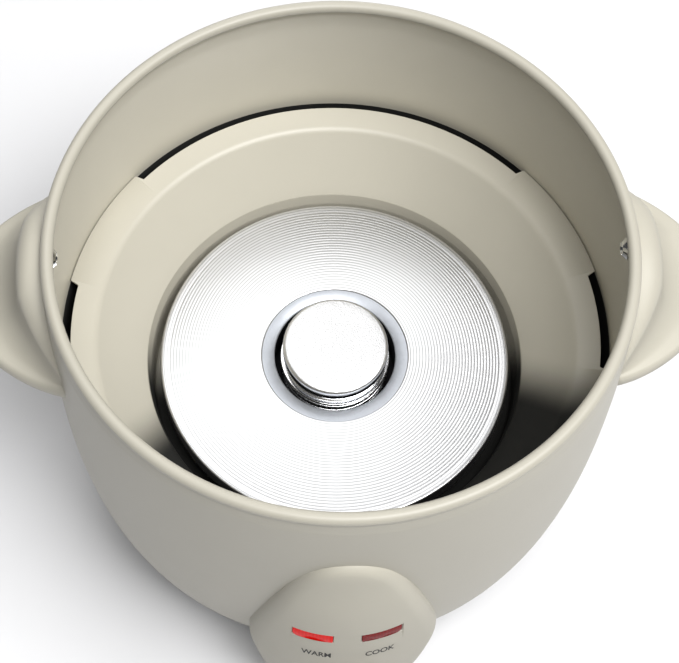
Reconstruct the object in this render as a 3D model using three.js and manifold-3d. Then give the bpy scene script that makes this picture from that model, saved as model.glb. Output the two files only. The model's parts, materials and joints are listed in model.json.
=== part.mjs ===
// A small rice cooker's body with its pot and lid taken out.
// Millimetres, +Z up. The origin is on the body's axis at floor level: the control pod
// faces -Y, the handles lie along X and the power inlet faces +Y.
import * as THREE from 'three';
import { mergeVertices } from 'three/addons/utils/BufferGeometryUtils.js';
import Module from 'manifold-3d';

const wasm = await Module();
wasm.setup();

// ---- driving dimensions ----
const gap = 0.3; // between pieces that touch
const ringSteps = 48; // flats round the large turned pieces

const wallThickness = 1.6;
// outside of the drawn wall, radius and height, from the foot to the rim
const wallOutside = [
  [80, 8], [83, 14], [88, 26], [91.5, 45], [93.3, 68],
  [93.6, 90], [93, 115], [91.4, 144], [91, 150],
];
const rimBeadRadius = 2;
const rimCentre = [89, 150];
const flangeInner = 70;
const flangeBottom = 6.2;

const linerThickness = 0.9;
const linerEdge = 91.5;
const linerNotchEdge = 88.8;
const linerFloor = 52.3;
const linerFloorHole = 30;

const coverTop = 5.9;
const coverThickness = 1.7;
const coverRadius = 77;
const footHeight = 3.9;
const footCircle = 62;
const postCircle = 54;
const postAngles = [90, 210, 330];

const plateTop = 70;
const plateRadius = 60.6;
const plateHole = 21;
const castRingRadius = 25.5;

const capTop = 77;
const capRadius = 18.2;
const sleeveBottom = 43.7;
const springSeat = 56.7;
const magnetTop = 61.1;
const magnetBottom = 56.1;
const rodRadius = 1.6;
const collarBottom = 33.2;

const pivotY = -34;
const pivotZ = 28.5;
const pinRadius = 2;
const armTop = 32.7;
const armThickness = 1.5;
const bracketTop = 51.1;
const bracketThickness = 1.2;
const bracketHalfWidth = 10.2;

const podAxisY = -60; // upright axis that the pod's face is turned about
const podFace = [
  [34, 8], [41, 14], [44, 26], [44.8, 45], [44, 65],
  [43, 80], [41, 95], [38, 108], [35.8, 117], [33.4, 123],
];
const podWall = 2;
const lensHeight = 80; // height of the two windows' middle
const lensHalfHeight = 2.3;
const lensNear = 4.5;
const lensFar = 17;
const handleEdge = 120.5; // a handle tip's distance from the axis
const handleTopZ = 123.5;
const handleDepth = 6;
const handleBevel = 2.4;
const handleScrewZ = 141;
const handleSteps = 9; // flats along each half of a handle's edge
const inletZ = 35;
const inletFace = 111;

// ---- materials ----
const finish = (color, roughness, metalness) =>
  new THREE.MeshStandardMaterial({ color, roughness, metalness });
const greige = () => finish(0xcdc8b8, 0.55, 0);
const aluminium = () => finish(0xd9dadc, 0.35, 1);
const steel = () => finish(0xb4b6ba, 0.4, 1);
const chrome = () => finish(0xe6e7e9, 0.12, 1);
const darkPlastic = () => finish(0x2b2b2d, 0.6, 0);
const rubber = () => finish(0x3a3938, 0.85, 0);

// ---- solids ----
// A closed geometry as a manifold solid, leaving out the collapsed triangles at a lathe's axis.
function solidOf(geometry) {
  const bare = new THREE.BufferGeometry();
  const loose = geometry.index ? geometry.toNonIndexed() : geometry;
  bare.setAttribute('position', loose.getAttribute('position'));
  const merged = mergeVertices(bare, 1e-4);
  const corners = merged.index.array;
  const kept = [];
  for (let i = 0; i < corners.length; i += 3) {
    const [a, b, c] = [corners[i], corners[i + 1], corners[i + 2]];
    if (a !== b && b !== c && c !== a) kept.push(a, b, c);
  }
  return new wasm.Manifold(new wasm.Mesh({
    numProp: 3,
    vertProperties: merged.getAttribute('position').array,
    triVerts: new Uint32Array(kept),
  }));
}

const join = (...solids) => solids.reduce((a, b) => a.add(b));
const cut = (solid, ...tools) => tools.reduce((a, b) => a.subtract(b), solid);
const radians = (degrees) => THREE.MathUtils.degToRad(degrees);

// A profile of [radius, height] pairs turned about +Z, open at the axis or a closed loop.
function turnedGeometry(profile, steps) {
  const points = profile.map(([r, z]) => new THREE.Vector2(r, z));
  if (profile[0][0] > 0) points.push(points[0].clone());
  if (THREE.ShapeUtils.area(points) < 0) points.reverse();
  return new THREE.LatheGeometry(points, steps).rotateX(Math.PI / 2);
}
const turned = (profile, steps = ringSteps) => solidOf(turnedGeometry(profile, steps));

// A turned piece whose axis starts at a point and runs along a direction.
function turnedAlong(profile, start, direction, steps = 10) {
  const geometry = turnedGeometry(profile, steps);
  const turn = new THREE.Quaternion().setFromUnitVectors(
    new THREE.Vector3(0, 0, 1),
    new THREE.Vector3(...direction).normalize(),
  );
  geometry.applyQuaternion(turn).translate(...start);
  return solidOf(geometry);
}

// A round bar from one point to another.
function bar(radius, from, to, steps = 10) {
  const run = new THREE.Vector3(...to).sub(new THREE.Vector3(...from));
  const length = run.length();
  const profile = [[0, 0], [radius, 0], [radius, length], [0, length]];
  return turnedAlong(profile, from, run.toArray(), steps);
}

// A box between two opposite corners.
function block(low, high) {
  const size = high.map((value, i) => value - low[i]);
  const middle = high.map((value, i) => (value + low[i]) / 2);
  return solidOf(new THREE.BoxGeometry(...size).translate(...middle));
}

// An outline drawn in X and Y, raised from one height to another.
function raised(shape, bottom, top, curveSegments = 8) {
  const settings = { depth: top - bottom, bevelEnabled: false, curveSegments };
  return solidOf(new THREE.ExtrudeGeometry(shape, settings).translate(0, 0, bottom));
}

// An outline drawn in X and Z, carried along Y from front to back.
function carried(shape, front, back, curveSegments = 5) {
  const settings = { depth: back - front, bevelEnabled: false, curveSegments };
  const geometry = new THREE.ExtrudeGeometry(shape, settings);
  return solidOf(geometry.rotateX(Math.PI / 2).translate(0, back, 0));
}

// A tube of constant radius along a curve.
function tubeAlong(curve, radius, steps, sides = 8) {
  const section = new THREE.Shape();
  for (let i = 0; i < sides; i += 1) {
    const angle = (2 * Math.PI * i) / sides;
    const point = [radius * Math.cos(angle), radius * Math.sin(angle)];
    if (i === 0) section.moveTo(...point);
    else section.lineTo(...point);
  }
  section.closePath();
  const settings = { extrudePath: curve, steps, bevelEnabled: false };
  return solidOf(new THREE.ExtrudeGeometry(section, settings));
}

const cooker = new THREE.Group();

function place(name, solid, material) {
  const mesh = solid.getMesh();
  const geometry = new THREE.BufferGeometry();
  geometry.setAttribute('position', new THREE.BufferAttribute(mesh.vertProperties, 3));
  geometry.setIndex(new THREE.BufferAttribute(mesh.triVerts, 1));
  geometry.computeVertexNormals();
  const part = new THREE.Mesh(geometry, material);
  part.name = name;
  cooker.add(part);
}

// Everything inside the drawn wall's outer face, with clearance for a piece that lies on it.
const bodyEnvelope = turned([
  [0, -10],
  [wallOutside[0][0] + gap, -10],
  ...wallOutside.map(([r, z]) => [r + gap, z]),
  [wallOutside.at(-1)[0] + gap, 170],
  [0, 170],
]);

// ---- body shell ----
function outerShell() {
  const bead = [50, 90, 130, 180, 225].map((degrees) => [
    rimCentre[0] + rimBeadRadius * Math.cos(radians(degrees)),
    rimCentre[1] + rimBeadRadius * Math.sin(radians(degrees)),
  ]);
  const innerWall = wallOutside.slice(1, -1).reverse().map(([r, z]) => [r - wallThickness, z]);
  const flangeTop = flangeBottom + wallThickness;
  const shell = turned([
    [flangeInner, flangeBottom], [coverRadius, flangeBottom], ...wallOutside, ...bead,
    [89.4, 147.6], ...innerWall, [77.6, flangeTop], [flangeInner, flangeTop],
  ]);
  const leverWindow = block([-9.5, -100, 20.8], [9.5, -70, 36]);
  const lampWindow = block([-18, -100, 76], [18, -80, 84]);
  const inletWindow = block([-15, 75, 25], [15, 100, 45]);
  const screwHoles = [
    bar(1.9, [0, -80, 88], [0, -100, 88], 8),
    bar(1.9, [0, -75, 14.5], [0, -100, 14.5], 8),
    bar(1.9, [-18, 75, inletZ], [-18, 100, inletZ], 8),
    bar(1.9, [18, 75, inletZ], [18, 100, inletZ], 8),
    bar(2.2, [-100, 0, handleScrewZ], [-80, 0, handleScrewZ], 8),
    bar(2.2, [80, 0, handleScrewZ], [100, 0, handleScrewZ], 8),
  ];
  return cut(shell, leverWindow, lampWindow, inletWindow, ...screwHoles);
}
place('outer_shell', outerShell(), greige());

// A wedge of the liner's flange edge, cut back between two angles to leave a slot to the wall.
function notchWedge(middle, halfAngle) {
  const shape = new THREE.Shape();
  const [from, to] = [radians(middle - halfAngle), radians(middle + halfAngle)];
  shape.absarc(0, 0, linerNotchEdge, from, to, false);
  shape.absarc(0, 0, linerEdge + 4, to, from, true);
  return raised(shape, 88, 96, 12);
}

function innerLiner() {
  const face = [
    [linerEdge, 92.2], [81, 90.6], [79, 89], [70, 76.6], [65.2, 70.2], [64.1, 66.5],
    [63.5, linerFloor], [linerFloorHole, linerFloor],
  ];
  const underside = [
    [linerFloorHole, linerFloor - linerThickness], [64.4, linerFloor - linerThickness],
    [65, 66.3], [66, 69.7], [70.8, 76.1], [79.7, 88.3], [81.3, 89.7], [linerEdge, 91.3],
  ];
  const postHoles = postAngles.map((degrees) => {
    const [x, y] = [postCircle * Math.cos(radians(degrees)), postCircle * Math.sin(radians(degrees))];
    return bar(2.4, [x, y, 45], [x, y, 55], 8);
  });
  return cut(
    turned([...face, ...underside]),
    notchWedge(0, 11.6), notchWedge(180, 11.6), notchWedge(90, 48.5), notchWedge(270, 48.5),
    ...postHoles,
    bar(4, [-14.7, 40.4, 45], [-14.7, 40.4, 55], 8),
    bar(4, [14.7, 40.4, 45], [14.7, 40.4, 55], 8),
    bar(1.9, [-13, -52, 45], [-13, -52, 55], 8),
    bar(1.9, [13, -52, 45], [13, -52, 55], 8),
  );
}
place('inner_liner', innerLiner(), greige());

// ---- base ----
function baseCover() {
  const bottom = coverTop - coverThickness;
  const disc = turned([[0, bottom], [coverRadius - 1, bottom], [coverRadius, bottom + 1],
    [coverRadius, coverTop], [0, coverTop]]);
  const vents = [];
  for (let i = -3; i <= 3; i += 1) {
    const halfLength = 30 - 3 * Math.abs(i);
    vents.push(block([i * 9 - 1.6, -halfLength, 0], [i * 9 + 1.6, halfLength, 10]));
  }
  const footHoles = footPlaces.map(([x, y]) => bar(2.6, [x, y, 0], [x, y, 10], 8));
  const screwHoles = postPlaces.map(([x, y]) => bar(2.1, [x, y, 0], [x, y, 10], 8));
  return cut(disc, ...vents, ...footHoles, ...screwHoles);
}
const onCircle = (radius, degrees) => [
  radius * Math.cos(radians(degrees)),
  radius * Math.sin(radians(degrees)),
];
const footPlaces = [45, 135, 225, 315].map((degrees) => onCircle(footCircle, degrees));
const postPlaces = postAngles.map((degrees) => onCircle(postCircle, degrees));
place('base_cover', baseCover(), darkPlastic());

footPlaces.forEach(([x, y], i) => {
  const profile = [[0, 0], [6, 0], [7.5, 1.2], [8, footHeight], [2.2, footHeight],
    [2.2, 7.4], [0, 7.4]];
  place(`foot_${i + 1}`, turnedAlong(profile, [x, y, 0], [0, 0, 1], 12), rubber());
});

postPlaces.forEach(([x, y], i) => {
  // a tubular post stands on the cover, with a stud through the liner's floor into the plate
  const post = [[0, 24], [1.9, 23], [1.9, 6.2], [4, 6.2], [4, 51.1], [1.9, 51.1],
    [1.9, 60], [0, 60]];
  place(`support_post_${i + 1}`, turnedAlong(post, [x, y, 0], [0, 0, 1]), steel());
  const screw = [[0, 1.6], [2.8, 1.6], [3.4, 2.4], [3.4, 3.9], [1.6, 3.9], [1.6, 18], [0, 18]];
  place(`base_screw_${i + 1}`, turnedAlong(screw, [x, y, 0], [0, 0, 1]), steel());
});

// ---- heating plate ----
function heatingPlate() {
  const plate = turned([
    [plateHole, plateTop - 0.5], [castRingRadius, plateTop - 0.5],
    [castRingRadius + 0.3, plateTop], [plateRadius - 1.4, plateTop],
    [plateRadius, plateTop - 1.4], [plateRadius, 63.5],
    [48, 63.5], [45.5, 57], [40.5, 57], [38, 63.5], [27, 63.5], [26, 57],
    [plateHole, 57],
  ]);
  const bosses = postPlaces.map(([x, y]) => bar(4.6, [x, y, 52.6], [x, y, 66], 8));
  const studHoles = postPlaces.map(([x, y]) => bar(2.3, [x, y, 50], [x, y, 61], 8));
  const pinHoles = [-14.7, 14.7].map((x) => bar(1.9, [x, 40.4, 50], [x, 40.4, 61], 8));
  return cut(join(plate, ...bosses), ...studHoles, ...pinHoles);
}
place('heating_plate', heatingPlate(), aluminium());
place('element_terminal_left', bar(1.5, [-14.7, 40.4, 44], [-14.7, 40.4, 60.5], 10), steel());
place('element_terminal_right', bar(1.5, [14.7, 40.4, 44], [14.7, 40.4, 60.5], 10), steel());

// ---- magnetic thermostat in the plate's middle ----
place('thermostat_cap', turned([
  [0, capTop], [capRadius - 1, capTop], [capRadius, capTop - 1], [capRadius, capTop - 4.8],
  [capRadius - 0.7, capTop - 5], [capRadius - 0.7, 69], [18.9, 69], [18.9, 68.1],
  [16.6, 68.1], [16.6, capTop - 1.2], [0, capTop - 1.2],
], 28), aluminium());
place('ferrite_disc', turned([[0, 72.6], [12.8, 72.6], [12.8, 75.5], [0, 75.5]], 24),
  finish(0x4a4a4e, 0.7, 0.2));
place('thermostat_sleeve', turned([
  [2.4, sleeveBottom], [14.4, sleeveBottom], [14.4, 55.5], [25, 55.5], [25, springSeat],
  [14.4, springSeat], [14.4, 68], [13.6, 68], [13.6, sleeveBottom + 1], [2.4, sleeveBottom + 1],
], 24), steel());
place('magnet', turned([[0, magnetBottom], [9, magnetBottom], [9, magnetTop], [0, magnetTop]], 24),
  finish(0x5a5a60, 0.5, 0.6));
place('pull_rod', turned([
  [0, 24], [rodRadius, 24], [rodRadius, collarBottom], [4, collarBottom],
  [4, collarBottom + 1.2], [rodRadius, collarBottom + 1.2], [rodRadius, magnetBottom - gap],
  [0, magnetBottom - gap],
], 10), steel());

class CoilCurve extends THREE.Curve {
  constructor(radius, bottom, top, turns) {
    super();
    Object.assign(this, { radius, bottom, top, turns });
  }

  getPoint(t, target = new THREE.Vector3()) {
    const angle = 2 * Math.PI * this.turns * t;
    const height = this.bottom + (this.top - this.bottom) * t;
    return target.set(this.radius * Math.cos(angle), this.radius * Math.sin(angle), height);
  }
}
place('cap_spring', tubeAlong(new CoilCurve(18.3, 57.8, 67.1, 3), 0.6, 42, 5), chrome());
place('release_spring', tubeAlong(new CoilCurve(3, 35.2, 43, 4), 0.4, 32, 4), chrome());

// ---- lever, pivot and switch ----
const armBottom = armTop - armThickness;
const strip = block([-6, -96, armBottom], [6, 2, armTop]);
const forkSlot = block([-2.3, -3.5, 20], [2.3, 10, 40]);
const pivotCheeks = [-6, 4.8].map((x) => block([x, -38, 25], [x + 1.2, -30, armTop]));
const pivotBore = bar(pinRadius + gap, [-20, pivotY, pivotZ], [20, pivotY, pivotZ]);
place('lever_arm', cut(join(strip, ...pivotCheeks), forkSlot, pivotBore), steel());

const pinProfile = [[0, 0], [3, 0], [3, 1], [pinRadius, 1], [pinRadius, 22.2], [0, 22.2]];
place('pivot_pin', turnedAlong(pinProfile, [-11.6, pivotY, pivotZ], [1, 0, 0]), steel());

function cookLever() {
  const paddle = new THREE.Shape();
  paddle.moveTo(-8, -90);
  paddle.lineTo(-8, -106);
  paddle.lineTo(-13, -106);
  paddle.quadraticCurveTo(-13, -113, -5, -113);
  paddle.lineTo(5, -113);
  paddle.quadraticCurveTo(13, -113, 13, -106);
  paddle.lineTo(8, -106);
  paddle.lineTo(8, -90);
  paddle.closePath();
  const neck = raised(paddle, 29, 35);
  const head = block([-13, -112, 27.5], [13, -106, 36.5]);
  const pocket = block([-6 - gap, -96 - gap, armBottom - gap], [6 + gap, -80, armTop + gap]);
  return cut(join(neck, head), pocket);
}
place('cook_lever', cookLever(), greige());

function switchBracket() {
  const top = block([-16, -60, bracketTop - bracketThickness], [16, -40, bracketTop]);
  const cheek = new THREE.Shape();
  cheek.moveTo(-60, bracketTop);
  cheek.lineTo(-60, 44);
  cheek.lineTo(-42, 24);
  cheek.lineTo(-36, 12);
  cheek.lineTo(-12, 12);
  cheek.lineTo(-12, 30);
  cheek.lineTo(-26, 34);
  cheek.lineTo(-40, 46);
  cheek.lineTo(-40, bracketTop);
  cheek.closePath();
  const settings = { depth: bracketThickness, bevelEnabled: false };
  const cheeks = [-bracketHalfWidth, bracketHalfWidth - bracketThickness].map((x) => {
    const geometry = new THREE.ExtrudeGeometry(cheek, settings);
    return solidOf(geometry.rotateX(Math.PI / 2).rotateZ(Math.PI / 2).translate(x, 0, 0));
  });
  const pinBore = bar(pinRadius + gap, [-20, pivotY, pivotZ], [20, pivotY, pivotZ]);
  const screwHoles = [-13, 13].map((x) => bar(1.9, [x, -52, 40], [x, -52, 60], 8));
  return cut(join(top, ...cheeks), pinBore, ...screwHoles);
}
place('switch_bracket', switchBracket(), steel());

// Profile of a pan-head screw, head first.
const panScrew = (headRadius, headHeight, shankRadius, length) => [
  [0, 0], [headRadius * 0.7, 0], [headRadius, headHeight * 0.6], [headRadius, headHeight],
  [shankRadius, headHeight], [shankRadius, length], [0, length],
];
const bracketScrew = panScrew(3, 1.8, 1.5, 7);
place('bracket_screw_left', turnedAlong(bracketScrew, [-13, -52, 54.4], [0, 0, -1], 8), steel());
place('bracket_screw_right', turnedAlong(bracketScrew, [13, -52, 54.4], [0, 0, -1], 8), steel());

const plungerWell = bar(1.8, [0, -24, 17], [0, -24, 40], 8);
const switchBody = join(
  block([-8.6, -33, 14], [8.6, -13, 25]),
  block([-3, -31, 9], [-2, -28, 15]),
  block([-3, -19, 9], [-2, -16, 15]),
);
place('micro_switch', cut(switchBody, plungerWell), darkPlastic());
place('switch_plunger', bar(1.4, [0, -24, 18.5], [0, -24, armBottom - 0.4], 8),
  finish(0xc8452c, 0.5, 0));

// ---- control pod ----
// Shield outline in X and Z: domed top, bowed flaring sides, then a slow taper to the foot.
function podOutline(inset) {
  const side = (x) => x - inset;
  const [top, bottom] = [121.5 - inset, 9 + inset];
  const shape = new THREE.Shape();
  shape.moveTo(0, top);
  shape.bezierCurveTo(side(5.5), top, side(9.2), 118.7 - inset, side(12.3), 114.3 - inset / 2);
  shape.bezierCurveTo(side(19.5), 104, side(26.8), 76, side(30.2), 55);
  shape.quadraticCurveTo(side(31.2), 50, side(30.6), 45);
  shape.lineTo(side(25.5), 19);
  shape.quadraticCurveTo(side(23.5), bottom, side(13), bottom);
  shape.lineTo(-side(13), bottom);
  shape.quadraticCurveTo(-side(23.5), bottom, -side(25.5), 19);
  shape.lineTo(-side(30.6), 45);
  shape.quadraticCurveTo(-side(31.2), 50, -side(30.2), 55);
  shape.bezierCurveTo(-side(26.8), 76, -side(19.5), 104, -side(12.3), 114.3 - inset / 2);
  shape.bezierCurveTo(-side(9.2), 118.7 - inset, -side(5.5), top, 0, top);
  return shape;
}

function aboutPodAxis(profile) {
  return solidOf(turnedGeometry(profile, 40).translate(0, podAxisY, 0));
}

function podBulge(inset) {
  const face = podFace.map(([r, z]) => [r - inset, z]);
  return aboutPodAxis([[0, 8], ...face, [0, podFace.at(-1)[1]]]);
}

function controlPod() {
  const outside = podBulge(0).intersect(carried(podOutline(0), -120, -60));
  const hollow = podBulge(podWall).intersect(carried(podOutline(podWall), -120, -60));
  const bosses = join(
    bar(3.4, [0, -80, 88], [0, -101.5, 88]),
    bar(3.4, [0, -75, 14.5], [0, -99.5, 14.5]),
  ).intersect(outside);
  const bores = [
    bar(1.8, [0, -80, 88], [0, -99, 88], 8),
    bar(1.8, [0, -75, 14.5], [0, -96, 14.5], 8),
  ];
  const windows = [-1, 1].map((side) => {
    const ends = [side * (lensNear - gap), side * (lensFar + gap)].sort((a, b) => a - b);
    const reach = lensHalfHeight + gap;
    return block([ends[0], -120, lensHeight - reach], [ends[1], -94, lensHeight + reach]);
  });
  const leverSlot = block([-8.8, -120, 19.5], [8.8, -90, 36.3]);
  return cut(
    join(cut(outside, hollow), bosses),
    ...bores, ...windows, leverSlot, bodyEnvelope,
  );
}
place('control_pod', controlPod(), greige());

const podScrew = panScrew(3, 1.8, 1.5, 8.5);
place('pod_screw_upper', turnedAlong(podScrew, [0, -89.6, 88], [0, -1, 0], 8), steel());
place('pod_screw_lower', turnedAlong(podScrew, [0, -77.9, 14.5], [0, -1, 0], 8), steel());

// Each lens is a curved strip held a little behind the pod's face.
const lensRing = aboutPodAxis([
  [39.6, lensHeight - lensHalfHeight], [42.1, lensHeight - lensHalfHeight],
  [42.1, lensHeight + lensHalfHeight], [39.6, lensHeight + lensHalfHeight],
]);
place('warm_lens', lensRing.intersect(block([-lensFar, -120, 70], [-lensNear, -90, 90])),
  finish(0xe01208, 0.15, 0));
place('cook_lens', lensRing.intersect(block([lensNear, -120, 70], [lensFar, -90, 90])),
  finish(0x6d0a0c, 0.15, 0));

place('warm_lamp', bar(2.1, [-15.5, -92.4, lensHeight], [-6.5, -92.4, lensHeight], 8),
  finish(0xff9a50, 0.1, 0));
place('cook_lamp', bar(2.1, [6.5, -92.4, lensHeight], [15.5, -92.4, lensHeight], 8),
  finish(0xd8c8b8, 0.1, 0));
place('lamp_holder', cut(
  join(
    block([-18, -88.6, 74], [18, -87, 82.5]),
    block([-17.4, -93.2, 77.2], [-15.9, -87, 82.5]),
    block([15.9, -93.2, 77.2], [17.4, -87, 82.5]),
  ),
  bar(3, [0, -80, 88], [0, -95, 88]),
), darkPlastic());

// ---- handles ----
function handleOutline(inset) {
  const [root, tip, halfWidth] = [85, handleEdge - inset, 36.8 - inset];
  const side = [];
  for (let i = 0; i <= handleSteps; i += 1) {
    const along = Math.sin((Math.PI / 2) * (i / handleSteps));
    side.push([root + (tip - root) * along, halfWidth * Math.sqrt(1 - along ** 1.37)]);
  }
  const shape = new THREE.Shape();
  shape.moveTo(root, -halfWidth);
  side.slice(1).forEach(([x, y]) => shape.lineTo(x, -y));
  side.slice(0, -1).reverse().forEach(([x, y]) => shape.lineTo(x, y));
  shape.closePath();
  return shape;
}

// The flare that sweeps the handle's top up to the wall under the rim, highest at its middle.
function handleFlare(inset) {
  const bottom = handleTopZ - 3;
  const side = [
    [112, 123], [109, 124.7], [104.5, 128.1], [101.5, 132.5], [99.8, 138.5], [98.8, 144], [95.5, 147],
  ];
  const flare = turned([
    [80, bottom], [112 - inset, bottom],
    ...side.map(([r, z]) => [r - inset, z - inset / 2]),
    [80, 147 - inset / 2],
  ]);
  const dome = new THREE.Shape();
  dome.absellipse(0, bottom, 34.5 - inset, 27 - inset, 0, Math.PI, false);
  const settings = { depth: 60, bevelEnabled: false, curveSegments: 14 };
  const across = new THREE.ExtrudeGeometry(dome, settings).rotateX(Math.PI / 2).rotateZ(Math.PI / 2);
  return flare.intersect(solidOf(across.translate(70, 0, 0)));
}

function handle() {
  const wing = new THREE.ExtrudeGeometry(handleOutline(handleBevel), {
    depth: handleDepth - 2 * handleBevel,
    bevelThickness: handleBevel,
    bevelSize: handleBevel,
    bevelSegments: 3,
  }).translate(0, 0, handleTopZ - handleDepth + handleBevel);
  const outside = join(solidOf(wing), handleFlare(0));
  const pocket = raised(handleOutline(4), 100, handleTopZ - 2.9);
  const rootHollow = handleFlare(4).intersect(block([60, -50, 110], [130, 50, 134]));
  const screwBore = bar(2.05, [80, 0, handleScrewZ], [97.6, 0, handleScrewZ], 8);
  return cut(outside, pocket, rootHollow, screwBore, bodyEnvelope);
}
const handleScrew = panScrew(3.75, 2.4, 1.75, 10);
const rightHandle = handle();
place('handle_right', rightHandle, greige());
place('handle_left', rightHandle.rotate([0, 0, 180]), greige());
place('handle_screw_right', turnedAlong(handleScrew, [87.1, 0, handleScrewZ], [1, 0, 0], 12), chrome());
place('handle_screw_left', turnedAlong(handleScrew, [-87.1, 0, handleScrewZ], [-1, 0, 0], 12), chrome());

// ---- power inlet ----
function roundedBox(halfWidth, low, high, corner) {
  const shape = new THREE.Shape();
  shape.moveTo(-halfWidth + corner, low);
  shape.lineTo(halfWidth - corner, low);
  shape.absarc(halfWidth - corner, low + corner, corner, -Math.PI / 2, 0, false);
  shape.lineTo(halfWidth, high - corner);
  shape.absarc(halfWidth - corner, high - corner, corner, 0, Math.PI / 2, false);
  shape.lineTo(-halfWidth + corner, high);
  shape.absarc(-halfWidth + corner, high - corner, corner, Math.PI / 2, Math.PI, false);
  shape.lineTo(-halfWidth, low + corner);
  shape.absarc(-halfWidth + corner, low + corner, corner, Math.PI, Math.PI * 1.5, false);
  return shape;
}

function inletHousing() {
  const hood = carried(roundedBox(22, 20, 50, 6), 70, inletFace, 4);
  const throat = carried(roundedBox(14, 25.8, 44.2, 3), 85, 95, 2);
  const socket = carried(roundedBox(13, 26.5, 43.5, 5), 94, inletFace + 10, 4);
  const pinHoles = [-6.7, 6.7].map((x) => bar(2.3, [x, 70, inletZ], [x, 100, inletZ], 8));
  const bores = [-18, 18].map((x) => bar(1.8, [x, 75, inletZ], [x, 99, inletZ], 8));
  return cut(join(cut(hood, bodyEnvelope), throat), socket, ...pinHoles, ...bores);
}
place('power_inlet', inletHousing(), greige());
const inletPin = [[0, 0], [2, 0], [2, 22], [1.2, 23.5], [0, 23.5]];
place('inlet_pin_left', turnedAlong(inletPin, [-6.7, 84, inletZ], [0, 1, 0], 8), chrome());
place('inlet_pin_right', turnedAlong(inletPin, [6.7, 84, inletZ], [0, 1, 0], 8), chrome());
const inletScrew = panScrew(3, 1.8, 1.5, 13);
place('inlet_screw_left', turnedAlong(inletScrew, [-18, 83.4, inletZ], [0, 1, 0], 8), steel());
place('inlet_screw_right', turnedAlong(inletScrew, [18, 83.4, inletZ], [0, 1, 0], 8), steel());

// ---- protection, keep-warm resistor and leads ----
place('thermal_fuse', bar(1.8, [-6, 40, 48.4], [6, 40, 48.4], 8), finish(0xd8d2c0, 0.7, 0));
place('fuse_clip', join(
  block([-2.5, 37, 45.1], [2.5, 43, 46.2]),
  block([-2.5, 36.8, 45.1], [2.5, 37.8, bracketTop]),
  block([-2.5, 42.2, 45.1], [2.5, 43.2, bracketTop]),
), steel());
place('warm_resistor', block([-44, -4, 42], [-36, 20, 50.8]), finish(0xe4e0d4, 0.8, 0));

function lead(points) {
  const curve = new THREE.CatmullRomCurve3(points.map((p) => new THREE.Vector3(...p)));
  return tubeAlong(curve, 1.1, 12, 6);
}
place('lead_live', lead([[6.7, 83.4, 35], [9, 74, 35], [13, 60, 42], [12, 46, 47.6], [7.8, 40.4, 48.4]]),
  finish(0xb03024, 0.6, 0));
place('lead_fuse', lead([[-7.6, 39.8, 48.4], [-11, 34, 44], [-20, 24, 36], [-20, 4, 18], [-10, -7, 9],
  [-2.5, -17, 7.4]]), finish(0x2d2d30, 0.6, 0));
place('lead_element', lead([[-2.5, -29.5, 7.4], [12, -34, 9], [26, -16, 18], [28, 14, 32], [20, 33, 37],
  [14.7, 40, 42]]), finish(0xe6e2da, 0.6, 0));
place('lead_neutral', lead([[-6.7, 83.4, 35], [-9, 74, 34], [-17, 60, 34], [-18, 47, 37],
  [-14.7, 40.8, 42]]), finish(0x24324e, 0.6, 0));

export default cooker;
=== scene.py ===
import json
import math

import bmesh
import bpy
from mathutils import Matrix, Vector


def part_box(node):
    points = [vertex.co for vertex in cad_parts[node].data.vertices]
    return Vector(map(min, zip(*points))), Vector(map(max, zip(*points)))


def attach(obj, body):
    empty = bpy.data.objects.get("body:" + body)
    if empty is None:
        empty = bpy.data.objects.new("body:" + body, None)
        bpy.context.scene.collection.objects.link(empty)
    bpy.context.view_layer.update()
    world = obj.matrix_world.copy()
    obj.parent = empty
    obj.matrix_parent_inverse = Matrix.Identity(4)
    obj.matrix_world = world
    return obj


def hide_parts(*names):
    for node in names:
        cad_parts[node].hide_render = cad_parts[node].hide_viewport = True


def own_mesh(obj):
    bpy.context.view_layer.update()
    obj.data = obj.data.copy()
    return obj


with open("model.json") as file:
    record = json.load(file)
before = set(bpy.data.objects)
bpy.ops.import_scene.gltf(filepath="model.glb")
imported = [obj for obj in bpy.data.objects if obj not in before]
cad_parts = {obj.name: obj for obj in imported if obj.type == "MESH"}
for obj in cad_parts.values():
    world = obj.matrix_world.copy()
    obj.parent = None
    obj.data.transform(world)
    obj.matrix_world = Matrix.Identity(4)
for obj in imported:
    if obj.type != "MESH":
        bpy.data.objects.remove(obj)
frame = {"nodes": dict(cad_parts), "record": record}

mm = 0.001
full = 2 * math.pi
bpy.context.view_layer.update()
record = frame["record"]
bodyOf = {node: body for body, held in record["behaviour"]["bodies"].items() for node in held}
slotOf = {part["node"]: part["material_slot"] for part in record["subparts"]}
scene = bpy.context.scene
print("frame loaded:", len(frame["nodes"]), "nodes")


# camera, aimed at the middle of the rim from high in front
view = {
    "turn": 5.304, "elevation": 59.92, "roll": 3.622, "distance": 0.471,
    "lens": 82.3, "sensor": 36.0, "shiftX": -0.0042, "shiftY": -0.1365, "rimBead": 0.002,
}


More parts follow.
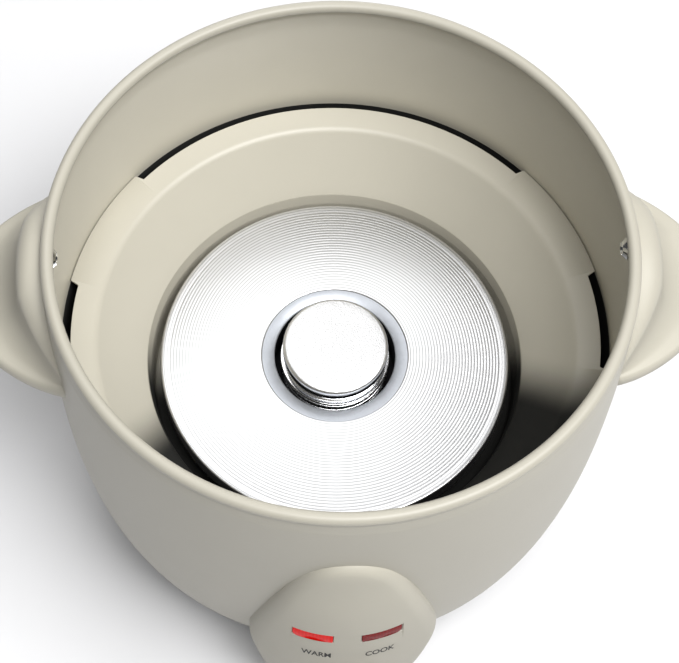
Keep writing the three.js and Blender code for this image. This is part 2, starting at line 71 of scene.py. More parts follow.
def placeCamera():
    turn, rise, roll = (math.radians(view[key]) for key in ("turn", "elevation", "roll"))
    target = Vector((0, 0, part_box("outer_shell")[1].z - view["rimBead"]))
    back = Vector((0, -math.cos(rise), math.sin(rise)))
    level = Vector((1, 0, 0))
    upright = back.cross(level)
    right = math.cos(roll) * level + math.sin(roll) * upright
    up = math.cos(roll) * upright - math.sin(roll) * level
    axes = Matrix((right, up, back)).transposed().to_4x4()
    spin = Matrix.Rotation(-turn, 4, "Z")
    camera = bpy.data.objects.new("camera", bpy.data.cameras.new("camera"))
    camera.matrix_world = Matrix.Translation(target + spin @ back * view["distance"]) @ spin @ axes
    camera.data.sensor_width = view["sensor"]
    camera.data.lens = view["lens"]
    camera.data.shift_x = view["shiftX"]
    camera.data.shift_y = view["shiftY"]
    camera.data.clip_start = 0.01
    scene.collection.objects.link(camera)
    scene.camera = camera


placeCamera()
print("camera placed")


# the value of a socket, so that masks and mixes can be written as sums and products
class Wire:
    def __init__(self, finish, socket):
        self.finish = finish
        self.socket = socket

    def maths(self, operation, first, second):
        return self.finish.node("Math", {"operation": operation}, {0: first, 1: second})

    def __add__(self, other):
        return self.maths("ADD", self, other)

    __radd__ = __add__

    def __sub__(self, other):
        return self.maths("SUBTRACT", self, other)

    def __rsub__(self, other):
        return self.maths("SUBTRACT", other, self)

    def __mul__(self, other):
        return self.maths("MULTIPLY", self, other)

    __rmul__ = __mul__


# one material on a Principled shader, with helpers that add nodes to it
class Finish:
    def __init__(self, name, **constants):
        self.material = bpy.data.materials.new(name)
        self.material.use_nodes = True
        self.tree = self.material.node_tree
        self.shader = self.tree.nodes["Principled BSDF"]
        for key, value in constants.items():
            self.shader.inputs[key.replace("_", " ")].default_value = value

    def feed(self, socket, value):
        if isinstance(value, Wire):
            self.tree.links.new(value.socket, socket)
        else:
            socket.default_value = value

    def node(self, kind, settings=None, values=None, output=0):
        made = self.tree.nodes.new("ShaderNode" + kind)
        for key, value in (settings or {}).items():
            setattr(made, key, value)
        for key, value in (values or {}).items():
            self.feed(made.inputs[key], value)
        return Wire(self, made.outputs[output])

    def place(self):
        return self.node("TexCoord", output="Object")

    # cloudy or grainy noise whose features are about so many millimetres across
    def noise(self, size, detail, rough=0.5, at=None):
        place = at or self.place()
        values = {"Vector": place, "Scale": 1 / (size * mm), "Detail": detail, "Roughness": rough}
        return self.node("TexNoise", {}, values)

    # a soft step from 0 at one value to 1 at the other
    def fade(self, value, zeroAt, oneAt):
        values = {0: value, 1: zeroAt, 2: oneAt}
        return self.node("MapRange", {"interpolation_type": "SMOOTHSTEP"}, values)

    def mixed(self, factor, first, second):
        first = first if isinstance(first, Wire) else (*first, 1)
        second = second if isinstance(second, Wire) else (*second, 1)
        return self.node("Mix", {"data_type": "RGBA"}, {0: factor, 6: first, 7: second}, 2)

    # distance from the object's upright axis, in millimetres
    def radius(self):
        flat = self.node("VectorMath", {"operation": "MULTIPLY"}, {0: self.place(), 1: (1 / mm, 1 / mm, 0)})
        return self.node("VectorMath", {"operation": "LENGTH"}, {0: flat}, "Value")

    # one coordinate of the object's own space, in metres
    def along(self, axis):
        return self.node("SeparateXYZ", {}, {0: self.place()}, axis)

    def surface(self, **wires):
        for key, value in wires.items():
            self.feed(self.shader.inputs[key.replace("_", " ")], value)
        return self.material

    def bump(self, height, depth, strength, under=None):
        values = {"Height": height, "Distance": depth * mm, "Strength": strength}
        if under:
            values["Normal"] = under
        return self.node("Bump", {}, values)


def shade(colour, amount):
    return tuple(min(1.0, part * amount) for part in colour)


greige = (0.425, 0.403, 0.338)
# near-black colour for the painted shade on the liner
paintedShadeBlack = (0.006, 0.006, 0.005)


# baked enamel over sheet steel: soft orange peel, a little cloudiness, fine dust
def enamelFinish(name, colour, rough):
    finish = Finish(name, Specular_IOR_Level=0.42, Coat_Roughness=0.3)
    cloud = finish.noise(34, 3)
    peel = finish.noise(1.3, 2)
    dust = finish.noise(0.35, 3, 0.7)
    speck = finish.fade(dust, 0.66, 0.76)
    tone = finish.mixed(cloud, shade(colour, 0.955), shade(colour, 1.03))
    tone = finish.mixed(speck * 0.16, tone, shade(colour, 0.82))
    return finish.surface(
        Base_Color=tone,
        Roughness=rough + cloud * 0.05 + peel * 0.05,
        Coat_Weight=0.1 + cloud * 0.08,
        Normal=finish.bump(dust, 0.006, 0.5, finish.bump(peel, 0.035, 0.45)),
    )


# the liner's enamel, with painted shade: near-black under the plate's edge and at the front, where shadow
# falls
def shadePaintedFinish(name, colour, rough):
    finish = Finish(name, Specular_IOR_Level=0.35, Coat_Roughness=0.3)
    cloud = finish.noise(34, 3)
    peel = finish.noise(1.3, 2)
    across, depth, height = (finish.along(axis) for axis in "XYZ")
    # painted shade masks: low blackens the liner below the plate's edge, front blackens its front part
    low = finish.fade(height, 0.0702, 0.0685) * finish.fade(depth, 0.012, -0.01)
    front = finish.fade(depth + height * 0.8 - across * 0.12 + cloud * 0.003, 0.050, 0.030)
    unshaded = (1 - low) * (1 - front)
    tone = finish.mixed(cloud, shade(colour, 0.955), shade(colour, 1.03))
    return finish.surface(
        Base_Color=finish.mixed(unshaded, paintedShadeBlack, tone),
        Roughness=rough + cloud * 0.05 + (1 - unshaded) * 0.4,
        Coat_Weight=unshaded * 0.12,
        Normal=finish.bump(peel, 0.035, 0.45),
    )


# moulded plastic with a fine spark texture
def mouldedFinish(name, colour, rough):
    finish = Finish(name, Specular_IOR_Level=0.4)
    cloud = finish.noise(26, 3)
    spark = finish.noise(0.45, 4, 0.65)
    broad = finish.noise(2.2, 2)
    tone = finish.mixed(cloud, shade(colour, 0.95), shade(colour, 1.04))
    tone = finish.mixed(finish.fade(spark, 0.62, 0.75) * 0.14, tone, shade(colour, 0.8))
    return finish.surface(
        Base_Color=tone,
        Roughness=rough + spark * 0.1,
        Normal=finish.bump(spark, 0.02, 0.5, finish.bump(broad, 0.02, 0.3)),
    )


# turned face whose cuts differ in brightness; groove is the first groove's radius and their step, and each
# groove is darkened as painted shade
def machinedFinish(name, colour, pitch, rough, groove=None):
    finish = Finish(name, Metallic=1.0)
    radius = finish.radius()

    def bands(scale, detail):
        values = {"W": radius, "Scale": scale, "Detail": detail}
        return finish.node("TexNoise", {"noise_dimensions": "1D"}, values)

    cuts = bands(1 / pitch, 1.0)
    drift = bands(0.22, 2.0)
    haze = finish.noise(22, 3)
    tone = finish.mixed(cuts * 0.5 + drift * 0.35, shade(colour, 0.9), shade(colour, 1.05))
    # painted shade: a dark line in the base colour at each of the plate's grooves
    if groove:
        first, step = groove
        beyond = radius - (first - step / 2)
        reach = finish.node("Math", {"operation": "PINGPONG"}, {0: beyond, 1: step / 2})
        line = finish.fade(reach, step * 0.22, step * 0.46)
        tone = finish.mixed(line * 0.75, tone, shade(colour, 0.42))
    return finish.surface(
        Base_Color=finish.mixed(haze * 0.2, tone, shade(colour, 0.96)),
        Roughness=rough + cuts * 0.1,
        Normal=finish.bump(cuts, 0.012, 0.35),
    )


# skin left by the casting mould: grey, mottled and slightly pitted
def castFinish(name, colour):
    finish = Finish(name, Metallic=0.9)
    blotch = finish.noise(2.6, 4, 0.65)
    pits = finish.noise(0.7, 3, 0.6)
    tone = finish.mixed(blotch, shade(colour, 0.86), shade(colour, 1.1))
    return finish.surface(
        Base_Color=finish.mixed(finish.fade(pits, 0.6, 0.72) * 0.3, tone, shade(colour, 0.6)),
        Roughness=0.44 + blotch * 0.12,
        Normal=finish.bump(pits, 0.03, 0.4),
    )


# bead-blasted aluminium: a sparkling grain of tiny dents
def blastedFinish(name, colour):
    finish = Finish(name, Metallic=1.0)
    dents = finish.node("TexVoronoi", {}, {"Vector": finish.place(), "Scale": 1 / (0.42 * mm)})
    grain = finish.noise(0.3, 2, 0.6)
    haze = finish.noise(9, 3)
    tone = finish.mixed(grain, shade(colour, 0.84), shade(colour, 1.12))
    return finish.surface(
        Base_Color=finish.mixed(haze * 0.2, tone, shade(colour, 0.95)),
        Roughness=0.3 + grain * 0.1,
        Normal=finish.bump(dents + grain * 0.6, 0.09, 0.7),
    )


# plated, drawn or pressed steel: faint drawing lines, cloudy plating, dull spots
def platedFinish(name, colour, rough):
    finish = Finish(name, Metallic=1.0)
    stretch = finish.node("VectorMath", {"operation": "MULTIPLY"}, {0: finish.place(), 1: (1, 0.08, 1)})
    drawn = finish.noise(0.25, 2, 0.6, stretch)
    cloud = finish.noise(5, 4, 0.6)
    spots = finish.fade(finish.noise(1.4, 3), 0.6, 0.7)
    tone = finish.mixed(cloud, shade(colour, 0.84), shade(colour, 1.1))
    return finish.surface(
        Base_Color=finish.mixed(spots * 0.35, tone, shade(colour, 0.72)),
        Roughness=rough + cloud * 0.12 + spots * 0.1,
        Normal=finish.bump(drawn, 0.012, 0.4),
    )


# bright chrome with faint smears
def chromedFinish(name):
    finish = Finish(name, Metallic=1.0)
    smear = finish.noise(1.8, 3)
    tone = finish.mixed(smear, (0.78, 0.79, 0.81), (0.93, 0.935, 0.94))
    return finish.surface(
        Base_Color=tone,
        Roughness=0.07 + smear * 0.12,
        Normal=finish.bump(smear, 0.02, 0.2),
    )


# dull red moulding with faint upright prisms, whose light and dark stripes are painted light, and a painted
# glow: the lens itself emits a little light
def lensFinish(name, colour, glow, lit):
    finish = Finish(name, Specular_IOR_Level=0.04, Coat_Roughness=0.04, Emission_Strength=lit)
    values = {"Vector": finish.place(), "Scale": 1 / (3.4 * mm)}
    ribs = finish.node("TexWave", {"bands_direction": "X"}, values)
    depth = finish.noise(3.2, 2)
    tone = finish.mixed(ribs * 0.35 + depth * 0.3, shade(colour, 0.62), shade(colour, 1.15))
    return finish.surface(
        Base_Color=tone,
        Emission_Color=finish.mixed(depth, glow, shade(glow, 0.5)),
        Roughness=0.12 + depth * 0.08,
        Coat_Weight=depth * 0.04,
        Normal=finish.bump(ribs, 0.02, 0.1),
    )


# lamp glass under a patchy film
def glassFinish(name, colour):
    finish = Finish(name, IOR=1.5, Transmission_Weight=0.85)
    film = finish.noise(1.6, 3)
    tone = finish.mixed(film, colour, shade(colour, 0.7))
    return finish.surface(Base_Color=tone, Roughness=0.04 + film * 0.12)


# sintered ferrite and unglazed ceramic: fine grain with scattered pores
def firedFinish(name, colour, rough):
    finish = Finish(name, Specular_IOR_Level=0.35)
    grain = finish.noise(0.5, 4, 0.7)
    pores = finish.fade(finish.noise(1.1, 3), 0.62, 0.7)
    cloud = finish.noise(7, 3)
    tone = finish.mixed(cloud, shade(colour, 0.85), shade(colour, 1.12))
    return finish.surface(
        Base_Color=finish.mixed(pores * 0.5, tone, shade(colour, 0.55)),
        Roughness=rough + grain * 0.15,
        Normal=finish.bump(grain - pores, 0.03, 0.5),
    )


# rubber and silicone: dull, with a light bloom
def rubberFinish(name, colour, rough=0.72):
    finish = Finish(name, Specular_IOR_Level=0.3)
    bloom = finish.noise(4, 4, 0.6)
    grain = finish.noise(0.4, 3, 0.6)
    bloomed = tuple(0.7 * part + 0.06 for part in colour)
    return finish.surface(
        Base_Color=finish.mixed(finish.fade(bloom, 0.45, 0.75) * 0.5, colour, bloomed),
        Roughness=rough + grain * 0.15,
        Normal=finish.bump(grain, 0.02, 0.4),
    )


# printed ink, slightly broken by the texture under it
def inkFinish(name):
    finish = Finish(name, Specular_IOR_Level=0.3)
    grain = finish.noise(0.25, 3, 0.6)
    return finish.surface(
        Base_Color=finish.mixed(finish.fade(grain, 0.6, 0.72), (0.008, 0.008, 0.008), (0.03, 0.028, 0.025)),
        Roughness=0.45 + grain * 0.2,
    )


# one greige in lit and shaded copies: the outer enamel a little darker, and the inside enamel much lighter as
# painted light
enamel = enamelFinish("greige enamel", shade(greige, 0.95), 0.42)
paintedLightInsideEnamel = enamelFinish("greige enamel painted lighter inside", shade(greige, 1.38), 0.4)
# near-black painted shade for the shell's inner wall below the liner's edge and for the hem underneath
paintedShadeEnamel = enamelFinish("painted shade black", (0.012, 0.012, 0.011), 0.7)
# the liner's enamel carries painted shade under the plate's edge and at the front
linerEnamel = shadePaintedFinish("greige liner enamel", shade(greige, 1.06), 0.36)
greigePlastic = mouldedFinish("greige plastic", greige, 0.47)
machined = machinedFinish("turned aluminium", (0.72, 0.723, 0.73), 0.16, 0.26, (26.42, 1.06))
castSkin = castFinish("cast skin", (0.44, 0.46, 0.495))
blasted = blastedFinish("blasted aluminium", (0.71, 0.71, 0.715))
polished = machinedFinish("polished edge", (0.84, 0.84, 0.85), 0.05, 0.08)
chromed = chromedFinish("chromed steel")
springWire = platedFinish("spring wire", (0.72, 0.72, 0.74), 0.2)
plated = platedFinish("plated steel", (0.63, 0.635, 0.64), 0.3)
# near-black steel as painted shade on the thermostat sleeve and on the wall of the plate's hole
shadeDarkSteel = platedFinish("steel painted dark for shade", (0.02, 0.02, 0.022), 0.6)
darkPlastic = mouldedFinish("charcoal plastic", (0.034, 0.034, 0.036), 0.5)
redPlastic = mouldedFinish("red plastic", (0.55, 0.07, 0.03), 0.4)
footRubber = rubberFinish("foot rubber", (0.05, 0.05, 0.048))
ink = inkFinish("black ink")

# finishes of the CAD nodes that stay, by slot or by name
carried = {
    "plated_steel": plated,
    "spring_steel": springWire,
    "chromed_steel": chromed,
    "ferrite": firedFinish("ferrite", (0.075, 0.075, 0.08), 0.5),
    "dark_plastic": darkPlastic,
    "red_plastic": redPlastic,
    "lamp_glass": glassFinish("lamp glass", (0.95, 0.62, 0.42)),
    "white_ceramic": firedFinish("white ceramic", (0.76, 0.73, 0.66), 0.6),
    "foot_rubber": footRubber,
}
ownFinishes = {
    "thermostat_sleeve": shadeDarkSteel,
    "lead_live": rubberFinish("red lead", (0.36, 0.04, 0.03), 0.5),
    "lead_fuse": rubberFinish("black lead", (0.03, 0.03, 0.032), 0.5),
    "lead_element": rubberFinish("white lead", (0.7, 0.68, 0.62), 0.5),
    "lead_neutral": rubberFinish("blue lead", (0.03, 0.07, 0.2), 0.5),
}
print("finishes made:", len(bpy.data.materials))


# a mesh from points in millimetres; finishAt picks a face's finish from its middle and normal
def piece(name, points, faces, finishes, sharp=38, finishAt=None):
    mesh = bpy.data.meshes.new(name)
    mesh.from_pydata([Vector(point) * mm for point in points], [], faces)
    work = bmesh.new()
    work.from_mesh(mesh)
    bmesh.ops.remove_doubles(work, verts=work.verts, dist=1e-7)
    bmesh.ops.recalc_face_normals(work, faces=work.faces)
    work.to_mesh(mesh)
    work.free()
    made = bpy.data.objects.new(name, mesh)
    scene.collection.objects.link(made)
    for finish in finishes if isinstance(finishes, (list, tuple)) else [finishes]:
        mesh.materials.append(finish)
    if finishAt:
        for face in mesh.polygons:
            face.material_index = finishAt(face.center / mm, face.normal)
    soften(made, sharp)
    return made


def soften(made, sharp):
    made.data.shade_smooth()
    made.data.set_sharp_from_angle(angle=math.radians(sharp))


# rings of equal length joined by faces; a ring of one point is a pole
def loft(rings, closed=False, capped=True):
    points, rows, faces = [], [], []
    for ring in rings:
        rows.append(list(range(len(points), len(points) + len(ring))))
        points += ring
    pairs = list(zip(rows, rows[1:])) + ([(rows[-1], rows[0])] if closed else [])
    for low, high in pairs:
        count = max(len(low), len(high))
        for i in range(count):
            j = (i + 1) % count
            if len(low) == 1:
                faces.append((low[0], high[j], high[i]))
            elif len(high) == 1:
                faces.append((low[i], low[j], high[0]))
            else:
                faces.append((low[i], low[j], high[j], high[i]))
    if capped and not closed:
        for row in (rows[0], rows[-1]):
            if len(row) > 2:
                faces.append(tuple(row))
    return points, faces


def merged(*parts):
    points, faces = [], []
    for morePoints, moreFaces in parts:
        start = len(points)
        points += morePoints
        faces += [tuple(start + i for i in face) for face in moreFaces]
    return points, faces


# rounds the corners of an outline; a corner is (a, b) or (a, b, radius)
def filleted(corners, closed=True, steps=5):
    made = []
    last = len(corners) - 1
    for i, corner in enumerate(corners):
        here = Vector(corner[:2])
        radius = corner[2] if len(corner) > 2 else 0
        if not radius or (not closed and i in (0, last)):
            made.append(tuple(here))
            continue
        before = Vector(corners[i - 1][:2]) - here
        after = Vector(corners[(i + 1) % len(corners)][:2]) - here
        half = before.angle(after) / 2
        reach = min(radius / math.tan(half), 0.49 * before.length, 0.49 * after.length)
        centre = here + (before.normalized() + after.normalized()).normalized() * reach / math.cos(half)
        first = here + before.normalized() * reach - centre
        second = here + after.normalized() * reach - centre
        start = math.atan2(first.y, first.x)
        sweep = (math.atan2(second.y, second.x) - start + math.pi) % full - math.pi
        for k in range(steps + 1):
            angle = start + sweep * k / steps
            made.append(tuple(centre + first.length * Vector((math.cos(angle), math.sin(angle)))))
    return made


# a smooth line through points
def smoothLine(points, steps=6):
    line = []
    padded = [points[0], *points, points[-1]]
    for before, a, b, after in zip(padded, padded[1:], padded[2:], padded[3:]):
        before, a, b, after = (Vector(p) for p in (before, a, b, after))
        for k in range(steps):
            t = k / steps
            line.append(tuple(0.5 * (
                2 * a + (b - before) * t + (2 * before - 5 * a + 4 * b - after) * t ** 2
                + (3 * a - before - 3 * b + after) * t ** 3
            )))
    return line + [tuple(points[-1])]


# first coordinate of a line where its second one is z
def acrossAt(line, z):
    for (a, low), (b, high) in zip(line, line[1:]):
        if low <= z <= high:
            return a + (b - a) * (z - low) / max(high - low, 1e-6)
    return line[0][0] if z < line[0][1] else line[-1][0]


def polar(radius, angle, z, centre=(0, 0)):
    return (centre[0] + radius * math.cos(angle), centre[1] + radius * math.sin(angle), z)


# a (radius, height) profile turned round an upright axis; off the axis it is a closed loop
def turned(profile, steps, centre=(0, 0)):
    rings = []
    for radius, z in profile:
        count = 1 if radius < 1e-6 else steps
        rings.append([polar(radius, full * i / steps, z, centre) for i in range(count)])
    return loft(rings, closed=profile[0][0] > 1e-6)


# a turned piece laid along a direction from a start point
def turnedAlong(profile, start, direction, steps):
    points, faces = turned(profile, steps)
    spin = Vector((0, 0, 1)).rotation_difference(Vector(direction)).to_matrix()
    return [tuple(spin @ Vector(point) + Vector(start)) for point in points], faces


# an anticlockwise outline moved inwards
def insetOutline(outline, amount):
    made = []
    for i, here in enumerate(outline):
        before, after = Vector(outline[i - 1]), Vector(outline[(i + 1) % len(outline)])
        along = (after - before).normalized()
        made.append((here[0] - along.y * amount, here[1] + along.x * amount))
    return made


# an anticlockwise outline raised from low to high, with rounded edges at the ends that ask for it
def slab(outline, low, high, lowEdge, highEdge, at=lambda a, b, h: (a, b, h), steps=4):
    rings = []
    for k in range(steps + 1 if lowEdge else 1):
        t = math.pi / 2 * (k / steps if lowEdge else 1)
        rings.append((lowEdge * (1 - math.sin(t)), low + lowEdge * (1 - math.cos(t))))
    for k in range(steps + 1 if highEdge else 1):
        t = math.pi / 2 * (1 - k / steps if highEdge else 1)
        rings.append((highEdge * (1 - math.sin(t)), high - highEdge * (1 - math.cos(t))))
    return loft([[at(a, b, h) for a, b in insetOutline(outline, inset)] for inset, h in rings])


def roundedRectangle(halfWidth, low, high, corner, steps=6):
    corners = [(halfWidth, low), (halfWidth, high), (-halfWidth, high), (-halfWidth, low)]
    return filleted([(*point, corner) for point in corners], steps=steps)


# a round rod that follows a path
def tube(path, radius, sides=10):
    rings = []
    normal = None
    for i, point in enumerate(path):
        here = Vector(point)
        along = (Vector(path[min(i + 1, len(path) - 1)]) - Vector(path[max(i - 1, 0)])).normalized()
        normal = normal or along.orthogonal().normalized()
        normal = (normal - along * normal.dot(along)).normalized()
        side = along.cross(normal)
        rings.append([
            tuple(here + radius * (math.cos(full * k / sides) * normal + math.sin(full * k / sides) * side))
            for k in range(sides)
        ])
    return loft(rings)


def coil(radius, bottom, top, turns, steps):
    count = turns * steps
    rise = top - bottom
    return [polar(radius, full * i / steps, bottom + rise * i / count) for i in range(count + 1)]


def box(low, high):
    outline = [(low[0], low[1]), (high[0], low[1]), (high[0], high[1]), (low[0], high[1])]
    return slab(outline, low[2], high[2], 0, 0)


# takes closed shapes out of a piece
def cutAway(made, tools, sharp):
    cutters = [piece("cutter", points, faces, []) for points, faces in tools]
    for cutter in cutters:
        modifier = made.modifiers.new("cut", "BOOLEAN")
        modifier.object = cutter
        modifier.solver = "EXACT"
    whole = made.evaluated_get(bpy.context.evaluated_depsgraph_get())
    mesh = bpy.data.meshes.new_from_object(whole)
    made.modifiers.clear()
    made.data = mesh
    for cutter in cutters:
        bpy.data.objects.remove(cutter)
    soften(made, sharp)


# the piece moves with the CAD nodes that it replaces, which are hidden
def standFor(made, *replaced):
    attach(made, bodyOf[replaced[0]])
    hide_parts(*replaced)
    return made


# the three posts that tie the plate, the liner and the base together
studCircle = 54
studAngles = (90, 210, 330)


def studPlaces():
    return [polar(studCircle, math.radians(angle), 0)[:2] for angle in studAngles]


# body shell as (radius, height); windows are (half width, low, high)
shell = {
    "wall": [(80, 8), (83, 14), (88, 26), (91.5, 45), (93.3, 68), (93.6, 90), (93, 115), (91.7, 140)],
    "neck": [(91.1, 145.6), (90.7, 147.9)], "innerNeck": [(89.2, 144.6), (88.9, 147.4)], "thickness": 1.6,
    "beadRadius": 2.0, "beadCentre": (89, 150), "beadTurn": (-34, 237, 15), "steps": 180,
    "flange": (70, 77, 6.2), "hem": (79.2, 6.9), "innerHem": (79.2, 8.8), "hemFoot": 77.6,
    "hemTop": 9, "paintedShadeTop": 91.5, "insideTop": 148.2,
    "leverWindow": (9.5, 20.8, 36), "lampWindow": (18, 76, 84), "inletWindow": (15, 25, 45),
    "frontCut": (-110, -60), "backCut": (60, 110),
}
wallLine = smoothLine([*shell["wall"], *shell["neck"]])


def makeShell():
    centreR, centreZ = shell["beadCentre"]
    radius, thickness = shell["beadRadius"], shell["thickness"]
    bead = []
    for degrees in range(*shell["beadTurn"]):
        angle = math.radians(degrees)
        bead.append((centreR + radius * math.cos(angle), centreZ + radius * math.sin(angle)))
    inner = [(r - thickness, z) for r, z in smoothLine(shell["wall"][1:])] + shell["innerNeck"]
    start, end, bottom = shell["flange"]
    profile = [
        (start, bottom), (end, bottom), shell["hem"], *wallLine, *bead, *reversed(inner),
        shell["innerHem"], (shell["hemFoot"], bottom + thickness), (start, bottom + thickness),
    ]

    # the hem underneath and the inner wall below the liner's edge get near-black painted shade; the inner
    # wall above gets the lighter inside enamel, which is painted light
    def finishAt(middle, normal):
        inward = normal.x * middle.x + normal.y * middle.y < 0
        if middle.z < shell["hemTop"]:
            return 1
        if not inward or middle.z > shell["insideTop"]:
            return 0
        return 1 if middle.z < shell["paintedShadeTop"] else 2

    made = piece("shell", *turned(profile, shell["steps"]), [enamel, paintedShadeEnamel, paintedLightInsideEnamel], 50, finishAt)
    tools = []
    for window, cut in (("leverWindow", "frontCut"), ("lampWindow", "frontCut"), ("inletWindow", "backCut")):
        half, low, high = shell[window]
        front, back = shell[cut]
        tools.append(box((-half, front, low), (half, back, high)))
    cutAway(made, tools, 50)
    return standFor(made, "outer_shell")


makeShell()
print("shell made")


# dished liner; a notch is (middle, half width) in degrees, and a hole (across, depth, radius)
liner = {
    "edge": 91.5, "cutBack": 88.7, "flangeStart": 82.5, "flangeRise": 0.17, "cornerAngle": 0.95,
    "notches": [(0, 11.6), (180, 11.6), (90, 48.5), (270, 48.5)],
    "face": [
        (91.5, 92.2), (80.3, 90.3, 4), (65.0, 70.0, 1.3), (64.0, 65.5, 4), (63.5, 52.3, 1.2), (30, 52.3),
    ],
    "under": [
        (30, 51.4), (64.4, 51.4, 1.5), (64.9, 65.3, 4), (66.2, 69.6, 1.5), (81.0, 89.5, 4), (91.5, 91.3),
    ],
    "lip": [(91.6, 91.4), (91.68, 91.65), (91.68, 91.9), (91.6, 92.12)],
    "studHole": 2.4, "terminalHole": (14.7, 40.4, 4), "bracketHole": (13, -52, 1.9), "drill": (48, 56),
}


# how far the flange is cut back at an angle, 0 on a land and 1 in a slot
def slotDepth(degrees):
    depth = 0
    for middle, half in liner["notches"]:
        off = abs((degrees - middle + 180) % 360 - 180)
        t = min(1, max(0, (half - off) / liner["cornerAngle"] + 0.5))
        depth = max(depth, t * t * (3 - 2 * t))
    return depth


def makeLiner():
    angles = set(range(0, 360, 2))
    for middle, half in liner["notches"]:
        for end in (middle - half, middle + half):
            angles |= {round((end + 0.12 * k) % 360, 3) for k in range(-8, 9)}
    angles = sorted(angles)
    face = filleted(liner["face"], closed=False, steps=7)
    under = filleted(liner["under"], closed=False, steps=5)
    start, end = liner["flangeStart"], liner["edge"]
    rings = []
    for radius, z in face + under + liner["lip"]:
        ring = []
        for degrees in angles:
            share = max(0, (radius - start) / (end - start))
            cut = slotDepth(degrees) * (end - liner["cutBack"]) * share
            ring.append(polar(radius - cut, math.radians(degrees), z - cut * liner["flangeRise"]))
        rings.append(ring)
    made = piece("liner", *loft(rings, closed=True), linerEnamel, 55)
    holes = [(x, y, liner["studHole"]) for x, y in studPlaces()]
    for x, y, reach in (liner["terminalHole"], liner["bracketHole"]):
        holes += [(-x, y, reach), (x, y, reach)]
    low, high = liner["drill"]
    drills = [turned([(0, low), (r, low), (r, high), (0, high)], 24, (x, y)) for x, y, r in holes]
    cutAway(made, drills, 55)
    return standFor(made, "inner_liner")


makeLiner()
print("liner made")


# heating plate, with a cast ring round its hole and the heater's ridge below
plate = {
    "top": 70, "radius": 60.6, "edge": 1.5, "hole": 21, "castRing": 25.5, "castDrop": 0.5,
    "pitch": 1.06, "grooveDepth": 0.055, "steps": 240, "bottom": 57, "web": 63.5, "castBelow": 63.4,
    "ridge": [(45.5, 58), (44.3, 57), (41.7, 57), (40.5, 58), (38, 63.5), (27, 63.5), (26, 57.4), (25.6, 57)],
    "stud": [(2.3, 52.6), (4.4, 52.6), (4.6, 52.9), (4.6, 64), (2.3, 64)],
}


def makePlate():
    top, radius, drop, pitch = (plate[key] for key in ("top", "radius", "castDrop", "pitch"))
    hole, ring, web = plate["hole"], plate["castRing"], plate["web"]
    profile = [
        (hole, top - drop - 0.4), (hole + 0.4, top - drop), (ring - 0.15, top - drop),
        (ring + 0.05, top - 0.06), (ring + 0.3, top),
    ]
    first, last = ring + 0.6, radius - plate["edge"] - 0.3
    grooves = int((last - first) / pitch)
    for i in range(grooves):
        start = first + i * pitch
        depth = plate["grooveDepth"] * (0.75 + 0.5 * i / grooves)
        profile += [
            (start, top), (start + 0.3 * pitch, top - depth), (start + 0.72 * pitch, top - 0.4 * depth),
        ]
    rim = [(last, top), (radius, top, plate["edge"]), (radius, web, 0.6), (48, web)]
    profile += [(last, top), *filleted(rim, False, 6)[1:], *plate["ridge"], (hole, plate["bottom"])]
    parts = [turned(profile, plate["steps"])]
    parts += [turned(plate["stud"], 24, place) for place in studPlaces()]

    # the wall of the plate's hole gets near-black painted shade; the cast ring and the underside get cast
    # skin
    def finishAt(middle, normal):
        reach = math.hypot(middle.x, middle.y)
        if reach < hole + 0.1:
            return 2
        return 1 if reach < ring - 0.2 or middle.z < plate["castBelow"] else 0

    made = piece("plate", *merged(*parts), [machined, castSkin, shadeDarkSteel], 60, finishAt)
    return standFor(made, "heating_plate")


makePlate()


# thermostat cap and the two springs; a flange is (radius, low, high)
cap = {
    "top": 77, "radius": 18.2, "edge": 1.2, "skirt": 17.5, "skirtTop": 5, "flange": (18.9, 68.1, 69),
    "wall": 1.6, "lid": 1.2, "crown": 0.93, "crownDrop": 0.05, "crownSteps": 8,
}
capCoil = {"radius": 18.3, "bottom": 57.9, "top": 67.0, "turns": 3, "steps": 40}
releaseCoil = {"radius": 3, "bottom": 35.2, "top": 43, "turns": 4, "steps": 24}


def makeCap():
    top, radius, skirt, count = (cap[key] for key in ("top", "radius", "skirt", "crownSteps"))
    reach, low, high = cap["flange"]
    inner, ceiling, skirtTop = radius - cap["wall"], top - cap["lid"], top - cap["skirtTop"]
    corners = [
        (0, top), (radius, top - 0.06, cap["edge"]), (radius, skirtTop + 0.2, 0.25), (skirt, skirtTop, 0.2),
        (skirt, high, 0.3), (reach, high, 0.2), (reach, low, 0.2), (inner, low, 0.2),
        (inner, ceiling, 0.8), (0, ceiling),
    ]
    profile = filleted(corners, False, 5)
    crown = [
        (radius * k / count * cap["crown"], top - cap["crownDrop"] * (k / count) ** 2) for k in range(count)
    ]

    def finishAt(middle, normal):
        return 0 if middle.z > top - 0.8 and normal.z > 0.3 else 1

    made = piece("cap", *turned(crown + profile[1:], 96), [blasted, polished], 40, finishAt)
    return standFor(made, "thermostat_cap")


makeCap()
capSpring = piece("capSpring", *tube(coil(**capCoil), 0.6), springWire)
standFor(capSpring, "cap_spring")
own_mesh(capSpring)
releaseSpring = piece("releaseSpring", *tube(coil(**releaseCoil), 0.4, 8), springWire)
standFor(releaseSpring, "release_spring")
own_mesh(releaseSpring)
print("plate and thermostat made")


